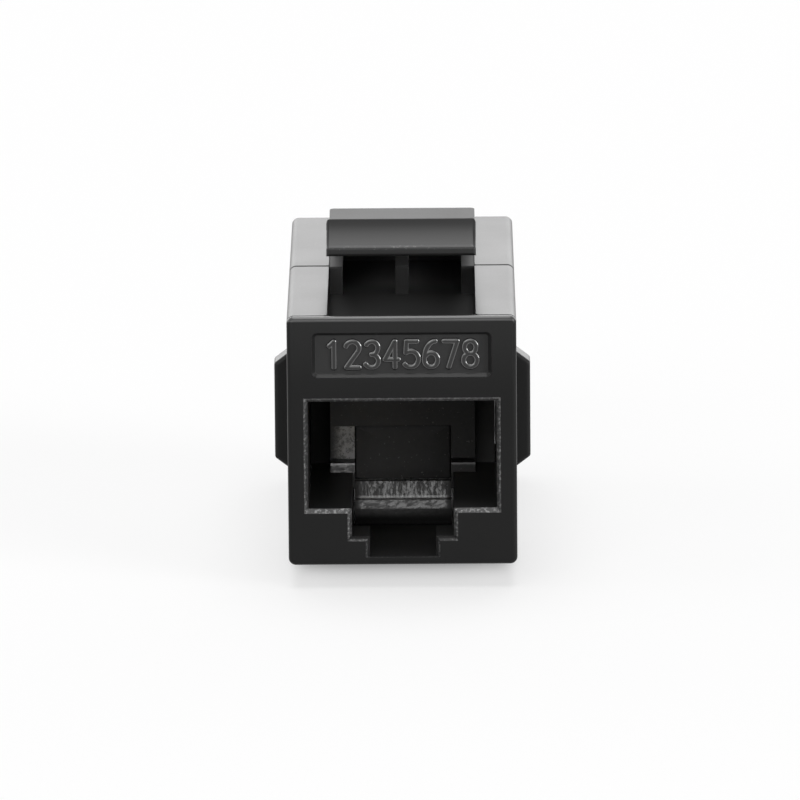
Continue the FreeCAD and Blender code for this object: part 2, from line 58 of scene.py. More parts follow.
# Front face with the port, its rims with wear and painted highlights, and painted side light in its bores
BODY_WIDTH = 14.5 * MM
FACE_EDGE_RADIUS = 0.3 * MM
PORT_WIDTH = 11.94 * MM
PORT_LOW_Z = NOSE_Z + 0.5 * MM
PORT_HIGH_Z = NOSE_Z + 10.6 * MM
PORT_PAINTED_LIGHT_REACH = 5.0 * MM
STEP_FLOOR_Z = NOSE_Z + 1.85 * MM
SILL_Z = NOSE_Z + 3.65 * MM
RIM_WIDTH = 0.28 * MM
RIM_DEPTH = 0.28 * MM
BEAD_EDGE = 0.1 * MM
BEAD_END = 0.18 * MM

# Label field over the port
LABEL_WIDTH = 11.33 * MM
LABEL_HEIGHT = 2.92 * MM
LABEL_DEPTH = 0.35 * MM
LABEL_WALL_SLOPE = 0.22 * MM
LABEL_LOW_Z = NOSE_Z + 12.16 * MM
LABEL_MIDDLE_Z = LABEL_LOW_Z + LABEL_HEIGHT / 2

# Channel in the top with its ribs and the lip of the lever over it; painted light in its pockets and on its
# rib tops
CHANNEL_WIDTH = 9.35 * MM
CHANNEL_DEPTH = 1.89 * MM
CHANNEL_LIP = 0.4 * MM
RIB_RELIEF = 0.05 * MM
POCKET_FADE = 4.0 * MM
LEVER_LIP_DEPTH = 0.25 * MM
LEVER_LIP_EDGE_Z = TOP_Z + 2.94 * MM

# Contact carrier: its recess, ledges and scuffed patch with a painted pool of light, and its tongue with a
# ramp and a bar
CARRIER_WIDTH = 9.33 * MM
RECESS_WIDTH = 6.2 * MM
RECESS_LOW_Z = NOSE_Z + 2.77 * MM
RECESS_HIGH_Z = NOSE_Z + 6.38 * MM
RECESS_WALL_DEPTH = 12.05 * MM
LEDGE_HIGH_Z = NOSE_Z + 4.0 * MM
LEDGE_LINE = 0.13 * MM
PATCH_LIGHT_FADE = 1.06 * MM
TONGUE_HIGH_Z = NOSE_Z + 2.8 * MM
TONGUE_EDGE_Z = NOSE_Z + 1.59 * MM
TONGUE_FRONT_DEPTH = 8.77 * MM
TONGUE_SIDE_DULL = 0.1 * MM
TONGUE_SIDE_GLOSSY = 0.45 * MM
BAR_FADE = 0.7 * MM
RAMP_FOOT_Z = NOSE_Z + 1.74 * MM
RAMP_FOOT_DEPTH = 11.15 * MM
RAMP_FOOT_LINE = 0.14 * MM
RAMP_DULL_X = -2.8 * MM
RAMP_GLOSSY_X = -1.8 * MM

# Circuit board
CONTACT_PITCH = 1.016 * MM
BOARD_SKIN = 0.01 * MM

# Sizes of the finishes' patterns, heights of their bumps and rounding of sharp edges
SATIN_CLOUD = 4.0 * MM
SATIN_GRAIN = 0.09 * MM
SATIN_GRAIN_HEIGHT = 0.0012 * MM
SATIN_WAVE = 7.0 * MM
SATIN_WAVE_HEIGHT = 0.03 * MM
RIM_MOTTLE = 0.2 * MM
RIM_SPECK_HEIGHT = 0.01 * MM
MOULD_EDGE = 0.06 * MM
NUMBER_WAVE = 0.6 * MM
NUMBER_WAVE_HEIGHT = 0.03 * MM
NUMBER_EDGE = 0.03 * MM
CARRIER_PITS = 0.2 * MM
CARRIER_PIT_HEIGHT = 0.01 * MM
CARRIER_FLECKS = 0.16 * MM
BAR_STREAKS = 0.2 * MM
BAR_STREAK_STRETCH = (5.0, 1.0, 1.0)
BAR_STREAK_TURN = (0.0, math.radians(-8), math.radians(30))
RAMP_STREAKS = 0.18 * MM
RAMP_STREAK_STRETCH = (1.0, 3.0, 3.0)
STREAK_HEIGHT = 0.03 * MM
GILT_CLOUD = 1.2 * MM
GILT_LINES = 0.05 * MM
GILT_LINE_STRETCH = (1.0, 25.0, 25.0)
GILT_LINE_HEIGHT = 0.001 * MM
BOARD_CLOUD = 0.8 * MM
TRACK_HEIGHT = 0.02 * MM
THIN_EDGE = 0.05 * MM
NO_TURN = (0.0, 0.0, 0.0)

# Colours, greys as one level
SATIN_DARK = 0.011
SATIN_PALE_WORN_AND_LIT = 0.25
NUMBER_DARK = 0.008
NUMBER_PALE = 0.016
CARRIER_DARK = 0.004
CARRIER_PALE_SCUFFED_AND_LIT = 0.7
GILT_DEEP = (0.78, 0.55, 0.21, 1.0)
GILT_PALE = (0.86, 0.66, 0.31, 1.0)
MASK_DARK = (0.012, 0.085, 0.035, 1.0)
MASK_GREEN = (0.02, 0.15, 0.06, 1.0)
LAMINATE_DARK = (0.35, 0.26, 0.12, 1.0)
LAMINATE_PALE = (0.45, 0.36, 0.19, 1.0)
FLOOR_DARK = 0.95
FLOOR_PALE = 0.96
GLOW_LEVEL = 0.965

# Raised pin numbers on the label field
DIGIT_HEIGHT = 1.68 * MM
DIGIT_PITCH = 1.24 * MM
STROKE_WIDTH = 0.4 * MM
STROKE_WALL = 0.1 * MM
STROKE_ROOF = 0.08 * MM
STROKE_ROOT = 0.03 * MM
WALL_POWER = 12
ROOF_POWER = 1.3
STROKE_STEPS = 40
CAP_STEPS = 6
CAP_START = 0.15
PROFILE_STEPS = 18

# Smooth panel on the recess's back wall: sizes and rises of its rings, from its front to its back
PANEL_THICKNESS = 0.03 * MM
PANEL_GAP = 0.02 * MM
PANEL_SQUARENESS = 40
PANEL_SIDES = 64
PANEL_RING_SIZES = (0.5, 0.95, 0.97, 1.0, 0.5)
PANEL_RING_RISES = (1.0, 1.0, 1.0, 0.0, 0.0)

# Floor, its glow and the painted shadow on it below the nose
FLOOR_RADIUS = 3.0
FLOOR_RINGS = 24
FLOOR_SECTORS = 96
FLOOR_CLOUD = 0.2
FLOOR_GLOW = 0.66
FLOOR_BOUNCE = 0.3
SHADE_LEVEL = 0.65
SHADE_START_Y = FRONT_Y + 1.0 * MM
SHADE_FULL_Y = FRONT_Y + 7.5 * MM
SHADE_FULL_X = BODY_WIDTH / 2 - 1.5 * MM
SHADE_END_X = BODY_WIDTH / 2 + 0.5 * MM

# Light of the room
ROOM_FILL = 0.1
ROOM_WHITE = 1.0

# Soft boxes in the room: azimuth from +Y towards +X, elevation, half width, half height, level
BOX_SOFTNESS = 0.6
SOFT_BOXES = {
    "overhead": (0, 84, 18, 27, 3.6),
    "back_strip": (0, 15, 45, 15, 2.2),
    "right": (122, 18, 13, 16, 4.0),
    "right_low": (113, 7, 12, 7, 8.0),
    "left": (-90, 25, 24, 20, 1.0),
    "front": (196, 27, 26, 10, 2.4),
}

# The photograph's view of the front face
PHOTO_SIDE = 800
SENSOR_WIDTH = 36.0
FOCAL_PIXELS = 10446
VIEW_DISTANCE = 0.66
VIEW_ELEVATION = math.radians(13.05)
VIEW_TURN = math.radians(0.2)
VIEW_ROLL = math.radians(-0.45)
FACE_PIXEL = (401.9, 441.4)


class Wire:
    """A socket of a node tree. Sums, products and comparisons of wires add Math nodes."""

    def __init__(self, tree, socket=None):
        self.tree = tree
        self.socket = socket

    def node(self, kind, settings=None, sockets=None):
        """Adds a node: settings first, then values or links on its sockets. Gives its first output."""
        made = self.tree.nodes.new(kind)
        for name, value in (settings or {}).items():
            setattr(made, name, value)
        for key, value in (sockets or {}).items():
            if isinstance(value, Wire):
                self.tree.links.new(value.socket, made.inputs[key])
            else:
                made.inputs[key].default_value = value
        return Wire(self.tree, made.outputs[0] if made.outputs else None)

    def output(self, key):
        """Another output of the node that this wire comes from."""
        return Wire(self.tree, self.socket.node.outputs[key])

    def math(self, operation, *values):
        """A Math node on wires or numbers."""
        return self.node("ShaderNodeMath", {"operation": operation}, dict(enumerate(values)))

    def mix(self, low, high):
        """A colour that goes from one to another as this wire goes from 0 to 1."""
        return self.node("ShaderNodeMix", {"data_type": "RGBA"}, {0: self, 6: low, 7: high}).output(2)

    def step(self, low, high, to_low=0.0, to_high=1.0):
        """A smooth step between two values of this wire."""
        sockets = {"Value": self, "From Min": low, "From Max": high, "To Min": to_low, "To Max": to_high}
        return self.node("ShaderNodeMapRange", {"interpolation_type": "SMOOTHSTEP"}, sockets)

    def __add__(self, other):
        return self.math("ADD", self, other)

    def __sub__(self, other):
        return self.math("SUBTRACT", self, other)

    def __rsub__(self, other):
        return self.math("SUBTRACT", other, self)

    def __mul__(self, other):
        return self.math("MULTIPLY", self, other)

    def __truediv__(self, other):
        return self.math("DIVIDE", self, other)

    def __lt__(self, other):
        return self.math("LESS_THAN", self, other)

    def __gt__(self, other):
        return self.math("GREATER_THAN", self, other)

    def __abs__(self):
        return self.math("ABSOLUTE", self)

    __radd__ = __add__
    __rmul__ = __mul__


def grey(level):
    """A neutral colour."""
    return (level, level, level, 1.0)


def new_material(name):
    """An empty material, and a wire to build its nodes on."""
    material = bpy.data.materials.new(name)
    material.use_nodes = True
    material.node_tree.nodes.clear()
    return material, Wire(material.node_tree)


def finish_material(start, colour, roughness, normal, fixed, coat=0.0):
    """Joins what varies to a Principled shader, whose other sockets keep fixed values."""
    sockets = {"Base Color": colour, "Roughness": roughness, "Normal": normal, "Coat Weight": coat}
    sockets.update(fixed)
    shader = start.node("ShaderNodeBsdfPrincipled", None, sockets)
    start.node("ShaderNodeOutputMaterial", None, {"Surface": shader})


def object_place(start):
    """Where a point lies on its piece, in metres."""
    return start.node("ShaderNodeTexCoord").output("Object")


def axis(place, name):
    """One coordinate of a place."""
    return place.node("ShaderNodeSeparateXYZ", None, {"Vector": place}).output(name)


def noise(place, size, detail=2.0, roughness=0.5):
    """Noise from 0 to 1 with lumps of a given size in metres."""
    sockets = {"Vector": place, "Scale": 1 / size, "Detail": detail, "Roughness": roughness}
    return place.node("ShaderNodeTexNoise", None, sockets)


def stretched(place, lengths, turn=NO_TURN):
    """Coordinates turned and then drawn out along each axis, for streaks."""
    sockets = {"Vector": place, "Rotation": turn, "Scale": lengths}
    return place.node("ShaderNodeMapping", {"vector_type": "TEXTURE"}, sockets)


def bumped(pattern, height, normal):
    """A normal bent by a pattern from 0 to 1 that stands for a height in metres."""
    sockets = {"Strength": 1.0, "Distance": height, "Height": pattern, "Normal": normal}
    return pattern.node("ShaderNodeBump", None, sockets)


def softened_edges(start, radius):
    """A normal that rounds sharp edges off by a small radius."""
    return start.node("ShaderNodeBevel", {"samples": 8}, {"Radius": radius})


def within(value, low, high):
    """1 where a wire is between two values."""
    return (value > low) * (value < high)


def port_depth(place):
    """Distance inwards from the nearer port face."""
    return SEAM_Y - FRONT_Y - abs(axis(place, "Y") - SEAM_Y)


def inside_ports(place):
    """1 on the walls inside either port and on its rims, 0 outside."""
    width = abs(axis(place, "X")) < PORT_WIDTH / 2 + RIM_WIDTH
    height = within(axis(place, "Z"), PORT_LOW_Z, PORT_HIGH_Z + RIM_WIDTH)
    return width * height * (port_depth(place) > EDGE_SLACK)


def on_port_rims(place):
    """1 on the slanted rims of either port, 0 elsewhere."""
    return inside_ports(place) * (port_depth(place) < RIM_DEPTH)


def in_tab_slot(place):
    """1 below the floor of the ports' steps, 0 above it."""
    return axis(place, "Z") < STEP_FLOOR_Z


def rim_wear_and_highlights(place):
    """How much wear and painted highlight the port rims get: most on the sills and along the outer bead,
    least in the tab slot, and less on the left.
    """
    sill = within(axis(place, "Z"), SILL_Z - RIM_WIDTH, SILL_Z)
    slot = in_tab_slot(place)
    left = axis(place, "X") < RIM_WIDTH - PORT_WIDTH / 2
    bead = port_depth(place).step(BEAD_END, BEAD_EDGE)
    # the left rims get less painted highlight
    sides = (0.5 - slot * 0.5 + bead * (1.1 - slot * 0.6)) * (1 - left * 0.3)
    return on_port_rims(place) * (sill + (1 - sill) * sides)


def on_brow(place):
    """From 0 at the port to 1 at the top edge on the port faces, 0 elsewhere."""
    return (port_depth(place) < EDGE_SLACK) * axis(place, "Z").step(PORT_HIGH_Z, TOP_Z)


def on_front_edge(place):
    """1 on the rounded top edge of the front face, 0 elsewhere."""
    front = axis(place, "Y") < FRONT_Y + FACE_EDGE_RADIUS
    return front * (axis(place, "Z") > TOP_Z - FACE_EDGE_RADIUS)


def on_ears(place):
    """1 on the ears at the sides, 0 elsewhere."""
    return abs(axis(place, "X")) > BODY_WIDTH / 2 + EDGE_SLACK


def on_label_field(place):
    """1 on the floor of the label field, 0 elsewhere."""
    width = abs(axis(place, "X")) < LABEL_WIDTH / 2
    height = abs(axis(place, "Z") - LABEL_MIDDLE_Z) < LABEL_HEIGHT / 2
    depth = abs(axis(place, "Y") - FRONT_Y - LABEL_DEPTH) < EDGE_SLACK
    return width * height * depth


def on_label_slope(place):
    """1 on the slope between the label field's lower wall and its floor, 0 elsewhere."""
    width = abs(axis(place, "X")) < LABEL_WIDTH / 2
    height = within(axis(place, "Z") - LABEL_LOW_Z, 0.0, LABEL_WALL_SLOPE)
    depth = within(axis(place, "Y") - FRONT_Y, LABEL_DEPTH - LABEL_WALL_SLOPE, LABEL_DEPTH - EDGE_SLACK)
    return width * height * depth


def in_channel(place):
    """1 on the floor and the ribs of the channel below the lever, 0 elsewhere."""
    width = abs(axis(place, "X")) < CHANNEL_WIDTH / 2 - EDGE_SLACK
    height = within(axis(place, "Z") - TOP_Z, -CHANNEL_DEPTH - EDGE_SLACK, -EDGE_SLACK)
    return width * height * (port_depth(place) > CHANNEL_LIP)


def on_rib_tops(place):
    """1 on the tops of the ribs in the channel, 0 elsewhere."""
    return in_channel(place) * (axis(place, "Z") > TOP_Z - RIB_RELIEF - EDGE_SLACK)


def in_pockets(place):
    """From 0 at the seam to 1 well behind it in the pockets between the ribs, 0 elsewhere."""
    behind = axis(place, "Y").step(SEAM_Y, SEAM_Y + POCKET_FADE)
    return in_channel(place) * behind * (1 - on_rib_tops(place))


def on_lever(place):
    """1 on the lever above the rails, 0 elsewhere."""
    return (axis(place, "Z") > TOP_Z + EDGE_SLACK) * (axis(place, "Y") < LEVER_HIGH.y)


def on_lever_lip(place):
    """1 on the foremost part of the lever, 0 elsewhere."""
    return on_lever(place) * (axis(place, "Y") < LEVER_LOW.y + LEVER_LIP_DEPTH)


def on_lever_root(place):
    """1 on the raised root behind the lever, 0 elsewhere."""
    return (axis(place, "Z") > TOP_Z + EDGE_SLACK) * (axis(place, "Y") > LEVER_HIGH.y)


def satin_black():
    """Housing plastic: black with a satin skin and fine mould grain.

    Its recesses are matt and a little paler, with painted fill light in the channel and its pockets under the
    lever and painted side light in the bores; its port rims show wear and speckle with painted highlights;
    painted light lifts the rib tops, the lever's lip, the ears and the face above the port towards its top
    edge; its lever and top edges are glossy.
    """
    material, start = new_material("satin_black")
    place = object_place(start)
    across, up = axis(place, "X"), axis(place, "Z")
    bore = inside_ports(place)
    rim = on_port_rims(place)
    worn_and_lit = rim_wear_and_highlights(place)
    field = on_label_field(place)
    channel = in_channel(place)
    lip = on_lever_lip(place)
    cloud = noise(place, SATIN_CLOUD, 3.0)
    grain = noise(place, SATIN_GRAIN)
    mottle = noise(place, RIM_MOTTLE, 3.0, 0.6)
    speck = mottle.step(0.48, 0.64)

    # painted side light: the bores get lighter from left to right
    painted_side_light = bore * across.step(-PORT_PAINTED_LIGHT_REACH, PORT_PAINTED_LIGHT_REACH, 0.01, 0.05)
    # the label field is a paler matt tone; the channel and, more strongly, its pockets are painted lighter as
    # fill light in the lever's shade
    recesses = field * 0.13 + channel * 0.22 + in_pockets(place) * 0.6 + painted_side_light
    # rim wear with painted highlights, and more painted highlight on the top rim
    rim_grey_worn_and_lit = worn_and_lit * (0.13 + speck * 0.4) + worn_and_lit * (up > PORT_HIGH_Z) * 0.25
    # painted light: the rib tops in the lever's shade, the lever's lip, the ears, and the face above the port
    # lighter towards its top edge
    painted_light = on_rib_tops(place) * 0.4 + lip * 0.05 + on_ears(place) * 0.02 + on_brow(place) * 0.055
    lightness = cloud * 0.01 + recesses + rim_grey_worn_and_lit + painted_light
    colour = lightness.mix(grey(SATIN_DARK), grey(SATIN_PALE_WORN_AND_LIT))

    dulled = bore * 0.1 + rim * in_tab_slot(place) * 0.4 + field * 0.1 + channel * 0.35
    roughness = 0.26 + cloud * 0.06 + grain * 0.05 + dulled + on_lever_root(place) * 0.05
    wave = bumped(noise(place, SATIN_WAVE, 0.0), SATIN_WAVE_HEIGHT, softened_edges(start, MOULD_EDGE))
    skin = bumped(grain, SATIN_GRAIN_HEIGHT, wave)
    normal = bumped(speck * rim, RIM_SPECK_HEIGHT, skin)

    lip_edge = lip * (up > LEVER_LIP_EDGE_Z) * mottle.step(0.56, 0.72)
    edges = on_front_edge(place) + on_label_slope(place) * 0.25 + lip_edge * 0.9
    coat = worn_and_lit * (0.3 + speck * 1.2) + on_lever(place) * 0.26 + edges
    fixed = {"Specular IOR Level": 0.15, "Coat Roughness": 0.3}
    finish_material(start, colour, roughness, normal, fixed, coat)
    return material


def gloss_black():
    """Raised numbers: the housing's plastic, slightly wavy, with a coat of gloss on the strokes' flanks."""
    material, start = new_material("gloss_black")
    place = object_place(start)
    cloud = noise(place, NUMBER_WAVE)
    height = FRONT_Y + LABEL_DEPTH - axis(place, "Y")
    flank = height.step(STROKE_WALL + STROKE_ROOT, STROKE_WALL)
    colour = cloud.mix(grey(NUMBER_DARK), grey(NUMBER_PALE))
    roughness = 0.1 + cloud * 0.1
    normal = bumped(cloud, NUMBER_WAVE_HEIGHT, softened_edges(start, NUMBER_EDGE))
    fixed = {"Specular IOR Level": 0.5, "Coat Roughness": 0.05, "Coat IOR": 1.9}
    finish_material(start, colour, roughness, normal, fixed, flank)
    return material


def tongue_faces(place):
    """Four masks: the tongue's ramp, the top and the front of its bar, and the painted shade on the front's
    lower part.
    """
    across, up = abs(axis(place, "X")), axis(place, "Z")
    depth = port_depth(place)
    side = RECESS_WIDTH / 2
    tongue = (up < TONGUE_HIGH_Z) * across.step(side - TONGUE_SIDE_DULL, side - TONGUE_SIDE_GLOSSY)
    front = depth < TONGUE_FRONT_DEPTH
    bar_painted_shade = up.step(TONGUE_EDGE_Z, TONGUE_EDGE_Z - BAR_FADE) * front
    bar_front = tongue * front * (1 - bar_painted_shade)
    bar_top = tongue * within(depth, TONGUE_FRONT_DEPTH, RAMP_FOOT_DEPTH)
    ramp = tongue * (depth > RAMP_FOOT_DEPTH)
    return ramp, bar_top, bar_front, bar_painted_shade


def grained_black():
    """Carrier plastic: dull black with bright specks.

    It is scuffed left of the recess, where a painted pool of light with painted glints lies, and streaked
    with gloss on its tongue and left ledge. Painted side light makes it lighter towards the left across the
    recess and beside it on the right, and painted shade darkens the lower front of its bar.
    """
    material, start = new_material("grained_black")
    place = object_place(start)
    across, up = axis(place, "X"), axis(place, "Z")
    face = abs(across) < CARRIER_WIDTH / 2 + EDGE_SLACK
    beside = abs(across) > RECESS_WIDTH / 2
    left = across < 0.0
    ledge = (up < LEDGE_HIGH_Z) * beside * face
    ledge_left = ledge * left
    patch = within(up, LEDGE_HIGH_Z, RECESS_HIGH_Z) * left * beside
    # a scuffed patch painted as a pool of light, shaded off towards the left wall
    scuff_and_light_pool = patch * across.step(-CARRIER_WIDTH / 2, PATCH_LIGHT_FADE - CARRIER_WIDTH / 2)
    ramp, bar_top, bar_front, bar_painted_shade = tongue_faces(place)
    streaked = bar_top + bar_front + ledge_left
    pits = noise(place, CARRIER_PITS, 3.0, 0.7)
    fleck = noise(place, CARRIER_FLECKS, 1.0)
    glint = scuff_and_light_pool * fleck.step(0.58, 0.66)
    drawn = noise(stretched(place, BAR_STREAK_STRETCH, BAR_STREAK_TURN), BAR_STREAKS, 4.0, 0.7)
    combed = noise(stretched(place, RAMP_STREAK_STRETCH), RAMP_STREAKS, 3.0, 0.7)

    # painted side light: the carrier is lighter towards the left across the recess
    painted_side_light = across.step(RECESS_WIDTH / 2, -RECESS_WIDTH / 2, 0.005, 0.09)
    # dust specks, with painted glints on the patch
    specks = fleck.step(0.7, 0.78) * 0.15 + glint * 0.6
    dust_and_painted_light = pits * 0.03 + specks + scuff_and_light_pool * (0.4 + pits.step(0.35, 0.65) * 0.8)
    # painted shade on the bar's lower front, and painted light beside the carrier on the right
    lightness = face * (painted_side_light + dust_and_painted_light) * (1 - bar_painted_shade) + (across > CARRIER_WIDTH / 2) * 0.1
    colour = lightness.mix(grey(CARRIER_DARK), grey(CARRIER_PALE_SCUFFED_AND_LIT))

    ramp_shine = combed.step(0.44, 0.6) * across.step(RAMP_DULL_X, RAMP_GLOSSY_X, 0.4, 1.0)
    shine = ramp * ramp_shine + streaked * drawn.step(0.42, 0.58)
    polished = (ramp + streaked) * 0.15 + shine * 0.25
    roughness = 0.8 - face * 0.2 + pits * 0.1 - polished + bar_painted_shade * 0.35
    rough_skin = bumped(pits, CARRIER_PIT_HEIGHT, softened_edges(start, MOULD_EDGE))
    normal = bumped(ramp * combed + streaked * drawn, STREAK_HEIGHT, rough_skin)

    ramp_foot = ramp * (up < RAMP_FOOT_Z + RAMP_FOOT_LINE)
    tongue_gloss = (ramp + bar_top) * shine * 0.75 + ramp_foot + bar_top * 0.1 + bar_front * shine * 0.3
    ledge_line = (ledge + ledge_left) * (up > LEDGE_HIGH_Z - LEDGE_LINE) * 0.5
    coat = tongue_gloss + ledge_left * (0.1 + shine * 0.5) + ledge_line + glint
    fixed = {"Specular IOR Level": 0.4, "Coat Roughness": 0.28}
    finish_material(start, colour, roughness, normal, fixed, coat)
    return material


def gilt():
    """Contact strip: gold plate over rolled metal, with fine lines along the strip."""
    material, start = new_material("gilt")
    place = object_place(start)
    lines = noise(stretched(place, GILT_LINE_STRETCH), GILT_LINES)
    cloud = noise(place, GILT_CLOUD)
    colour = cloud.step(0.3, 0.7).mix(GILT_DEEP, GILT_PALE)
    roughness = 0.16 + lines * 0.12 + cloud * 0.06
    normal = bumped(lines, GILT_LINE_HEIGHT, softened_edges(start, THIN_EDGE))
    finish_material(start, colour, roughness, normal, {"Metallic": 1.0})
    return material


def solder_mask():
    """Circuit board: green mask over raised upright tracks, with bare tan laminate on its cut edges."""
    material, start = new_material("solder_mask")
    place = object_place(start)
    face = abs(axis(place, "Y") - SEAM_Y) > (BOARD_HIGH.y - BOARD_LOW.y) / 2 - BOARD_SKIN
    pitches = axis(place, "X") / CONTACT_PITCH
    track = abs(pitches.math("FRACT", pitches) - 0.5).step(0.34, 0.4)
    cloud = noise(place, BOARD_CLOUD, 3.0)
    mask = track.mix(MASK_DARK, MASK_GREEN)
    laminate = cloud.mix(LAMINATE_DARK, LAMINATE_PALE)
    colour = face.mix(laminate, mask)
    roughness = 0.3 + cloud * 0.15 + (1 - face) * 0.3
    normal = bumped(track * face, TRACK_HEIGHT, softened_edges(start, THIN_EDGE))
    finish_material(start, colour, roughness, normal, {})
    return material


def studio_white():
    """Floor: matt white with a glow of its own that keeps shadows soft, and a painted shadow below the nose
    where the glow fades.

    It shows white and is duller as a source of light.
    """
    material, start = new_material("studio_white")
    place = object_place(start)
    along = axis(place, "Y")
    shown = shown_directly(start)
    paint = noise(place, FLOOR_CLOUD, 1.0).mix(grey(FLOOR_DARK), grey(FLOOR_PALE))
    matt = start.node("ShaderNodeBsdfDiffuse", None, {"Color": shown.mix(grey(FLOOR_BOUNCE), paint)})
    glow = start.node("ShaderNodeEmission", None, {"Color": grey(GLOW_LEVEL)})
    beside = abs(axis(place, "X")).step(SHADE_FULL_X, SHADE_END_X)
    below = along.step(SHADE_START_Y, SHADE_FULL_Y) * (along < SEAM_Y)
    # painted shadow: the floor's glow is taken away below the nose
    shade = below * below * (1 - beside) * SHADE_LEVEL
    glow_share = shown * FLOOR_GLOW * (1 - shade)
    surface = start.node("ShaderNodeMixShader", None, {0: glow_share, 1: matt, 2: glow})
    start.node("ShaderNodeOutputMaterial", None, {"Surface": surface})
    return material


def ring_quads(rings, sides, first=0):
    """Quads between neighbouring closed rings, whose points follow each other from index first on."""
    ring, side = np.meshgrid(np.arange(rings - 1), np.arange(sides), indexing="ij")
    after = (side + 1) % sides
    inner = first + ring * sides
    outer = inner + sides
    quads = np.stack((inner + side, outer + side, outer + after, inner + after), axis=2)
    return quads.reshape(-1, 4).tolist()


def pole_fan(pole, ring):
    """Triangles from a pole to each side of a closed ring, both given by their indices."""
    return np.column_stack((np.full(len(ring), pole), ring, np.roll(ring, -1))).tolist()


def closed_faces(rings, sides, first=0):
    """Faces of a closed surface: quads between its rings, and a fan from each end ring to its pole.

    The points are the rings' in order, from index first on, and then the two poles.
    """
    start = first + np.arange(sides)
    end = start[::-1] + (rings - 1) * sides
    pole = first + rings * sides
    return ring_quads(rings, sides, first) + pole_fan(pole, start) + pole_fan(pole + 1, end)


def new_piece(name, vertices, faces, material):
    """A mesh object at the origin, with its place in its mesh."""
    mesh = bpy.data.meshes.new(name)
    mesh.from_pydata(vertices.tolist(), [], faces)
    mesh.validate()
    mesh.shade_smooth()
    mesh.materials.append(material)
    piece = bpy.data.objects.new(name, mesh)
    bpy.context.scene.collection.objects.link(piece)
    return piece


def line(start, end):
    """Points of a straight stroke: start + t (end - start)."""
    t = np.linspace(0.0, 1.0, STROKE_STEPS)[:, None]
    return np.array(start) + t * (np.array(end) - np.array(start))


def arc(centre, radii, start, end):
    """Points of an elliptical stroke: centre + (a cos t, b sin t), with t in degrees from start to end."""
    t = np.radians(np.linspace(start, end, STROKE_STEPS))
    return np.array(centre) + np.column_stack((radii[0] * np.cos(t), radii[1] * np.sin(t)))


def digit_strokes():
    """The strokes of the digits 1 to 8, in cells one wide and two high."""
    one = [line((0.22, 1.66), (0.58, 2.0)), line((0.58, 2.0), (0.58, 0.0))]
    two_foot = [line((0.9, 1.2), (0.04, 0.0)), line((0.04, 0.0), (1.0, 0.0))]
    two = [arc((0.5, 1.5), (0.5, 0.5), 165, -38)] + two_foot
    three = [arc((0.48, 1.5), (0.46, 0.5), 150, -90), arc((0.46, 0.5), (0.52, 0.5), 90, -150)]
    four = [line((0.74, 0.0), (0.74, 2.0)), line((0.74, 2.0), (0.0, 0.6)), line((0.0, 0.6), (1.0, 0.6))]
    five_top = [line((0.92, 2.0), (0.14, 2.0)), line((0.14, 2.0), (0.08, 1.1))]
    five = five_top + [arc((0.45, 0.62), (0.58, 0.62), 129, -140)]
    six = [np.vstack((arc((0.85, 0.55), (0.85, 1.45), 92, 178), arc((0.5, 0.55), (0.5, 0.55), 180, 505)))]
    seven = [line((0.0, 2.0), (1.0, 2.0)), line((1.0, 2.0), (0.36, 0.0))]
    eight = [arc((0.5, 1.51), (0.43, 0.49), -80, 260), arc((0.5, 0.52), (0.51, 0.52), 100, 440)]
    return [one, two, three, four, five, six, seven, eight]


def stroke_ridge(path, first):
    """A ridge along a path on the label field, with walls, a roof and round ends: its vertices and faces.

    A point is path(s) + side(s) k r c + out (k (w (1 - |c|^m) + f (1 - |c|^n)) - root). c = cos(p) goes over
    the ridge from side to side and r is half its width. w and m are its walls' height and power, f and n its
    roof's. k = sqrt(1 - (1 - d / r)^2) closes it within r of an end at distance d. first is the index of its
    first vertex.
    """
    step = np.linalg.norm(np.diff(path, axis=0), axis=1)
    along = np.concatenate(([0.0], np.cumsum(step)))
    tangent = np.gradient(path, along, axis=0)
    tangent /= np.linalg.norm(tangent, axis=1)[:, None]
    radius = STROKE_WIDTH / 2
    ends = np.array([path[0] - tangent[0] * radius, path[-1] + tangent[-1] * radius])
    cap = radius * (1 - np.cos(np.linspace(CAP_START, 1.0, CAP_STEPS) * np.pi / 2))
    before = ends[0] + cap[:, None] * tangent[0]
    after = ends[1] - cap[::-1, None] * tangent[-1]
    spine = np.vstack((before, path[1:-1], after))
    first_heading = np.repeat(tangent[:1], CAP_STEPS, axis=0)
    last_heading = np.repeat(tangent[-1:], CAP_STEPS, axis=0)
    heading = np.vstack((first_heading, tangent[1:-1], last_heading))
    to_end = np.concatenate((cap, np.full(len(path) - 2, radius), cap[::-1]))
    swell = np.sqrt(1 - (1 - to_end / radius) ** 2)[:, None]
    over = np.cos(np.linspace(0.0, np.pi, PROFILE_STEPS))
    wall = STROKE_WALL * (1 - np.abs(over) ** WALL_POWER)
    roof = STROKE_ROOF * (1 - np.abs(over) ** ROOF_POWER)
    sideways = swell * radius * over
    outward = swell * (wall + roof) - STROKE_ROOT
    x = spine[:, :1] + heading[:, 1:] * sideways
    z = spine[:, 1:] - heading[:, :1] * sideways
    y = FRONT_Y + LABEL_DEPTH - outward
    rings = np.stack((x, y, z), axis=2).reshape(-1, 3)
    floor_y = FRONT_Y + LABEL_DEPTH + STROKE_ROOT
    poles = np.column_stack((ends[:, 0], np.full(2, floor_y), ends[:, 1]))
    return np.vstack((rings, poles)), closed_faces(len(spine), PROFILE_STEPS, first)


